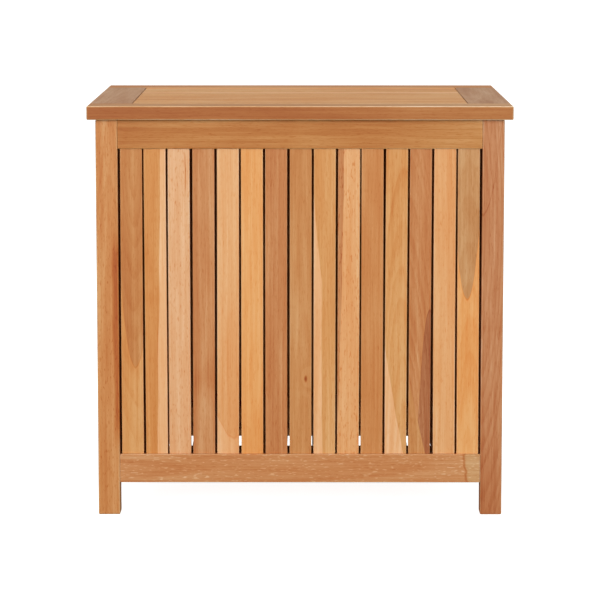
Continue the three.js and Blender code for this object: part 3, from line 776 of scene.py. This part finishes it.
class ChestWallSlats(Operator):
    """Build the slats of the back and the two sides"""

    bl_idname = "chest.wall_slats"
    bl_label = "Back and Side Slats"

    counts = {"back": 14, "left": 12, "right": 12}
    tones = ("tan", "golden", "peach", "reddish", "orange", "pinkish", "tan", "peach")

    def execute(self, context):
        sizes = context.scene.chest_sizes
        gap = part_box("front_slat_02")[0].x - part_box("front_slat_01")[1].x
        dice = random.Random(7)
        for wall, count in self.counts.items():
            node = f"{wall}_slats"
            low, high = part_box(node)
            along = 0 if wall == "back" else 1
            low.z, high.z = wall_opening(wall)
            stretch = even_slats(low[along] - gap, high[along] + gap, count, gap)
            for i, (start, end) in enumerate(stretch, start=1):
                slat_low, slat_high = low.copy(), high.copy()
                slat_low[along], slat_high[along] = start, end
                # The narrow faces get painted shade for the gaps between slats.
                character = {**any_look(dice, self.tones), "edge": sizes.gap_shade}
                add_board(f"{wall}_slat_{i:02d}_board", slat_low, slat_high, Z, OUTWARD[wall],
                          "case", character, sizes.slat_ease,
                          stands_for=(node,), bow=sizes.bow, lean=dice.uniform(-0.05, 0.05))
        return {"FINISHED"}


class ChestFloor(Operator):
    """Build the floor slats, their battens and the ledgers"""

    bl_idname = "chest.floor"
    bl_label = "Floor"

    slat_count = 6
    batten_count = 3
    stock_width = 50 * MM
    tones = ("tan", "golden", "orange", "peach", "reddish")

    def execute(self, context):
        sizes = context.scene.chest_sizes
        low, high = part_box("floor_duckboard")
        middle = (low.z + high.z) / 2
        dice = random.Random(21)
        inner = -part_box("leg_front_left")[1].x
        pitch = 2 * inner / self.slat_count
        shift = -0.5 * MM
        for i in range(self.slat_count):
            x = shift + (i - (self.slat_count - 1) / 2) * pitch
            add_board(f"floor_slat_{i + 1}", Vector((x - self.stock_width / 2, low.y, middle)),
                      Vector((x + self.stock_width / 2, high.y, high.z)), Y, Z, "case",
                      any_look(dice, self.tones), sizes.rail_ease,
                      stands_for=("floor_duckboard",), wood="teak_sanded")
        for i in range(self.batten_count):
            share = 2 * i / (self.batten_count - 1) - 1
            y = share * (high.y - self.stock_width / 2)
            add_board(f"floor_batten_{i + 1}", Vector((low.x, y - self.stock_width / 2, low.z)),
                      Vector((high.x, y + self.stock_width / 2, middle)), X, -Z, "case",
                      any_look(dice, self.tones), sizes.rail_ease,
                      stands_for=("floor_duckboard",), wood="teak_sanded")
        for side in SIDES:
            node = f"floor_ledger_{side}"
            ledger_low, ledger_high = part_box(node)
            add_board(f"{node}_board", ledger_low, ledger_high, Y, -OUTWARD[side], "case",
                      any_look(dice, self.tones), sizes.rail_ease,
                      stands_for=(node,), wood="teak_sanded")
        return {"FINISHED"}


class ChestLidFrame(Operator):
    """Build the four boards round the lid and the cleat below it"""

    bl_idname = "chest.lid_frame"
    bl_label = "Lid Frame"

    looks = {
        # The lid's front board has its front face darkened, partly for its own darker wood and partly as
        # painted shade, and its arrises lightened strongly, partly by rubbing and partly as a painted
        # highlight.
        "lid_front_rail": look(
            "khaki", (0.012, 0.040, 0.02), figure=0.12, edge=0.50, fade=-0.25, wear=0.50),
        "lid_back_rail": look("tan", (0.010, 0.035, 0.03), figure=0.25),
        "lid_left_rail": look("greyed", (0.020, 0.040, 0.05), figure=0.12, wear=0.1),
        "lid_right_rail": look("greyed", (-0.020, 0.030, -0.05), figure=0.12, wear=0.1),
        "lid_cleat": look("tan", (0.03, 0.05, 0.02)),
    }

    def execute(self, context):
        ease = context.scene.chest_sizes.lid_ease
        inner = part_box("lid_front_rail")[1].y
        for name, character in self.looks.items():
            low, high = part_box(name)
            grain = X if name in ("lid_front_rail", "lid_back_rail") else Y
            if name in ("lid_left_rail", "lid_right_rail"):
                low.y, high.y = inner, -inner
            if name == "lid_back_rail":
                low.z += context.scene.chest_sizes.leaf_reveal
            face = -Z if name == "lid_cleat" else Z
            add_board(f"{name}_board", low, high, grain, face, "lid", character,
                      ease, stands_for=(name,))
        return {"FINISHED"}


class ChestLidSlats(Operator):
    """Build the slats that fill the lid"""

    bl_idname = "chest.lid_slats"
    bl_label = "Lid Slats"

    count = 11
    tones = ("honey", "golden", "honey", "orange", "honey")

    def execute(self, context):
        sizes = context.scene.chest_sizes
        groove_depth = 8 * MM
        end_gap = 1.5 * MM
        dice = random.Random(4)
        for i in range(self.count):
            node = f"lid_slat_{i + 1:02d}"
            low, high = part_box(node)
            low.x += groove_depth + end_gap
            high.x -= groove_depth + end_gap
            # The narrow faces get painted shade for the gaps between slats.
            character = {**any_look(dice, self.tones), "edge": sizes.gap_shade}
            add_board(f"{node}_board", low, high, X, Z, "lid", character,
                      sizes.slat_ease, stands_for=(node,))
        return {"FINISHED"}


# ------------------------------------------------------------------- hardware


def screw_mesh(head, shank, length, slot_width=0.9 * MM, slot_depth=0.7 * MM, sides=28):
    """A countersunk screw with a straight slot, its face at the origin and looking along Z."""
    shape = bmesh.new()
    bmesh.ops.create_circle(shape, cap_ends=True, segments=sides, radius=head * 0.94)
    for offset in (-slot_width / 2, slot_width / 2):
        bmesh.ops.bisect_plane(
            shape, geom=shape.verts[:] + shape.edges[:] + shape.faces[:],
            plane_co=(0, offset, 0), plane_no=(0, 1, 0))
    outline = [edge for edge in shape.edges if edge.is_boundary]
    rim = bmesh.ops.extrude_edge_only(shape, edges=outline)["geom"]
    for vertex in (v for v in rim if isinstance(v, bmesh.types.BMVert)):
        flat = Vector((vertex.co.x, vertex.co.y, 0)).normalized()
        vertex.co = flat * head
        vertex.co.z = -head * 0.06
    below = [(shank, -(head - shank)), (shank, -length), (shank * 0.1, -length - shank * 1.6)]
    edges = [e for e in rim if isinstance(e, bmesh.types.BMEdge) and e.is_boundary]
    for radius, height in below:
        grown = bmesh.ops.extrude_edge_only(shape, edges=edges)["geom"]
        for vertex in (v for v in grown if isinstance(v, bmesh.types.BMVert)):
            flat = Vector((vertex.co.x, vertex.co.y, 0)).normalized()
            vertex.co = flat * radius
            vertex.co.z = height
        edges = [e for e in grown if isinstance(e, bmesh.types.BMEdge) and e.is_boundary]
    bmesh.ops.edgeloop_fill(shape, edges=edges)
    strip = [
        f for f in shape.faces
        if abs(f.calc_center_median().z) < 1e-6 and abs(f.calc_center_median().y) < slot_width / 2]
    sunk = bmesh.ops.extrude_face_region(shape, geom=strip)["geom"]
    bmesh.ops.delete(shape, geom=strip, context="FACES_ONLY")
    for vertex in (v for v in sunk if isinstance(v, bmesh.types.BMVert)):
        vertex.co.z -= slot_depth
        vertex.co.x *= 0.96
    bmesh.ops.recalc_face_normals(shape, faces=shape.faces[:])
    mesh = bpy.data.meshes.new("screw")
    shape.to_mesh(mesh)
    shape.free()
    return mesh


def add_screws(name, points, normal, body, metal):
    """Screws of one plate as one piece, their heads on the points and facing along a normal."""
    sizes = bpy.context.scene.chest_sizes
    whole = bmesh.new()
    dice = random.Random(len(name))
    for point in points:
        single = screw_mesh(sizes.screw_head, sizes.screw_shank, 11 * MM)
        spin = Matrix.Rotation(dice.uniform(0, math.pi), 4, "Z")
        aim = normal.to_track_quat("Z", "Y").to_matrix().to_4x4()
        single.transform(Matrix.Translation(point) @ aim @ spin)
        whole.from_mesh(single)
        bpy.data.meshes.remove(single)
    mesh = bpy.data.meshes.new(name)
    whole.to_mesh(mesh)
    whole.free()
    mesh.materials.append(material(metal))
    piece = bpy.data.objects.new(name, mesh)
    bpy.context.collection.objects.link(piece)
    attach(piece, body)
    return piece


class ChestHinges(Operator):
    """Finish the two brass butt hinges and add their screws"""

    bl_idname = "chest.hinges"
    bl_label = "Hinges"

    screws_per_leaf = 3
    screw_line = 7 * MM
    pin_round = 0.2 * MM
    leaf_round = 0.15 * MM
    seam_half = 0.25 * MM  # half the space between the two closed leaves
    proud = 0.02 * MM

    def execute(self, context):
        for side in SIDES:
            dress(f"hinge_{side}_pin", "brass_satin", self.pin_round)
            for body, part, normal in (("case", "body", Z), ("lid", "lid", -Z)):
                node = f"hinge_{side}_{part}_leaf"
                dress(node, "brass_satin", self.leaf_round)
                low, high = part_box(node)
                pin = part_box(f"hinge_{side}_pin")
                seat = (pin[0].z + pin[1].z) / 2
                face = seat + normal.z * (self.proud - self.seam_half)
                pitch = (high.x - low.x) / self.screws_per_leaf
                points = [
                    Vector((low.x + (i + 0.5) * pitch, low.y + self.screw_line, face))
                    for i in range(self.screws_per_leaf)]
                add_screws(f"hinge_{side}_{part}_screws", points, normal, body,
                           "brass_satin")
        return {"FINISHED"}


class ChestStay(Operator):
    """Finish the folding stay and add the screws of its brackets"""

    bl_idname = "chest.stay"
    bl_label = "Lid Stay"

    screw_spread = 11 * MM
    screw_drop = 7 * MM
    plate = 2 * MM
    flange = 17 * MM
    edge_round = 0.2 * MM

    def execute(self, context):
        for node in ("stay_body_bracket", "stay_lid_bracket", "stay_body_arm", "stay_lid_arm"):
            dress(node, "steel_zinc", self.edge_round)
        low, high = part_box("stay_body_bracket")
        middle = (low.y + high.y) / 2
        plate_face = high.x - self.plate
        add_screws(
            "stay_body_screws",
            [Vector((plate_face, middle + s * self.screw_spread / 2, high.z - self.screw_drop))
             for s in (-1, 1)],
            -X, "case", "steel_zinc")
        low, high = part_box("stay_lid_bracket")
        middle = (low.y + high.y) / 2
        flange_middle = low.x + (self.flange - self.plate) / 2
        add_screws(
            "stay_lid_screws",
            [Vector((flange_middle, middle + s * self.screw_spread / 2, high.z - self.plate))
             for s in (-1, 1)],
            -Z, "lid", "steel_zinc")
        return {"FINISHED"}


# ---------------------------------------------------------------------- stage


def add_area_light(name, place, target, size, power):
    """A softbox of white light that looks at a target."""
    data = bpy.data.lights.new(name, "AREA")
    data.shape = "RECTANGLE"
    data.size, data.size_y = size
    data.energy = power
    light = bpy.data.objects.new(name, data)
    bpy.context.collection.objects.link(light)
    light.location = place
    light.rotation_euler = (target - Vector(place)).to_track_quat("-Z", "Y").to_euler()


def studio_world():
    """Even white light from the walls and ceiling, and little from below."""
    world = bpy.data.worlds.new("studio_world")
    world.use_nodes = True
    tree = world.node_tree
    place = tree.nodes.new("ShaderNodeTexCoord")
    split = tree.nodes.new("ShaderNodeSeparateXYZ")
    height = tree.nodes.new("ShaderNodeMapRange")
    height.inputs["From Min"].default_value = -0.25
    height.inputs["From Max"].default_value = 0.15
    height.inputs["To Min"].default_value = 0.12
    height.inputs["To Max"].default_value = 0.40
    tree.links.new(place.outputs["Generated"], split.inputs[0])
    tree.links.new(split.outputs["Z"], height.inputs["Value"])
    tree.links.new(height.outputs["Result"], tree.nodes["Background"].inputs["Strength"])
    tree.nodes["Background"].inputs["Color"].default_value = (1.0, 1.0, 1.0, 1.0)
    return world


class ChestStage(Operator):
    """Set up the pale floor, the studio lights and the camera"""

    bl_idname = "chest.stage"
    bl_label = "Stage"

    # Each light: its name, its place and size in metres, and its power in watts
    lights = (
        ("key_softbox", (-1.5, -3.4, 1.3), (2.2, 1.4), 74),
        ("fill_softbox", (2.0, -3.0, 0.9), (2.2, 1.2), 39),
        ("top_softbox", (0.0, 0.4, 2.6), (2.4, 2.4), 19),
    )
    floor_reach = 60.0
    floor_drop = 0.1 * MM

    def execute(self, context):
        scene = context.scene
        sizes = scene.chest_sizes
        low, high = CAD_BOX
        middle = (low + high) / 2

        shape = bmesh.new()
        bmesh.ops.create_grid(shape, x_segments=8, y_segments=8, size=self.floor_reach)
        mesh = bpy.data.meshes.new("studio_floor")
        shape.to_mesh(mesh)
        shape.free()
        mesh.materials.append(material("studio_ground"))
        ground = bpy.data.objects.new("studio_floor", mesh)
        ground.location.z = low.z - self.floor_drop
        context.collection.objects.link(ground)
        ground.visible_diffuse = False
        ground.visible_glossy = False

        scene.world = studio_world()

        for name, place, size, power in self.lights:
            add_area_light(name, place, middle, size, power)

        data = bpy.data.cameras.new("studio_camera")
        data.sensor_width = 36
        data.lens = sizes.camera_lens
        data.clip_start = 0.05
        data.clip_end = self.floor_reach
        camera = bpy.data.objects.new("studio_camera", data)
        camera.location = (sizes.camera_aside, low.y - sizes.camera_distance, sizes.camera_height)
        camera.rotation_euler = (math.pi / 2 - sizes.camera_pitch, 0, sizes.camera_turn)
        context.collection.objects.link(camera)
        scene.camera = camera
        scene.view_settings.view_transform = "Standard"
        scene.view_settings.look = "None"
        return {"FINISHED"}


PIECES = (
    ChestLegs, ChestRails, ChestFrontSlats, ChestWallSlats, ChestFloor,
    ChestLidFrame, ChestLidSlats, ChestHinges, ChestStay, ChestStage,
)


class ChestPanel(Panel):
    """Lists the chest's pieces and settings"""

    bl_idname = "VIEW3D_PT_chest"
    bl_label = "Garden Chest"
    bl_space_type = "VIEW_3D"
    bl_region_type = "UI"
    bl_category = "Chest"

    def draw(self, context):
        layout = self.layout
        for piece in PIECES:
            layout.operator(piece.bl_idname)
        for group in (context.scene.chest_sizes, context.scene.chest_colours):
            column = layout.column()
            for name in group.bl_rna.properties.keys():
                if name not in ("rna_type", "name"):
                    column.prop(group, name)


CLASSES = (ChestSizes, ChestColours, *PIECES, ChestPanel)


def register():
    for item in CLASSES:
        bpy.utils.register_class(item)
    bpy.types.Scene.chest_sizes = PointerProperty(type=ChestSizes)
    bpy.types.Scene.chest_colours = PointerProperty(type=ChestColours)


def unregister():
    del bpy.types.Scene.chest_colours
    del bpy.types.Scene.chest_sizes
    for item in reversed(CLASSES):
        bpy.utils.unregister_class(item)


def main():
    """Builds every piece in order."""
    register()
    for piece in PIECES:
        group, name = piece.bl_idname.split(".")
        getattr(getattr(bpy.ops, group), name)()


if __name__ == "__main__":
    main()
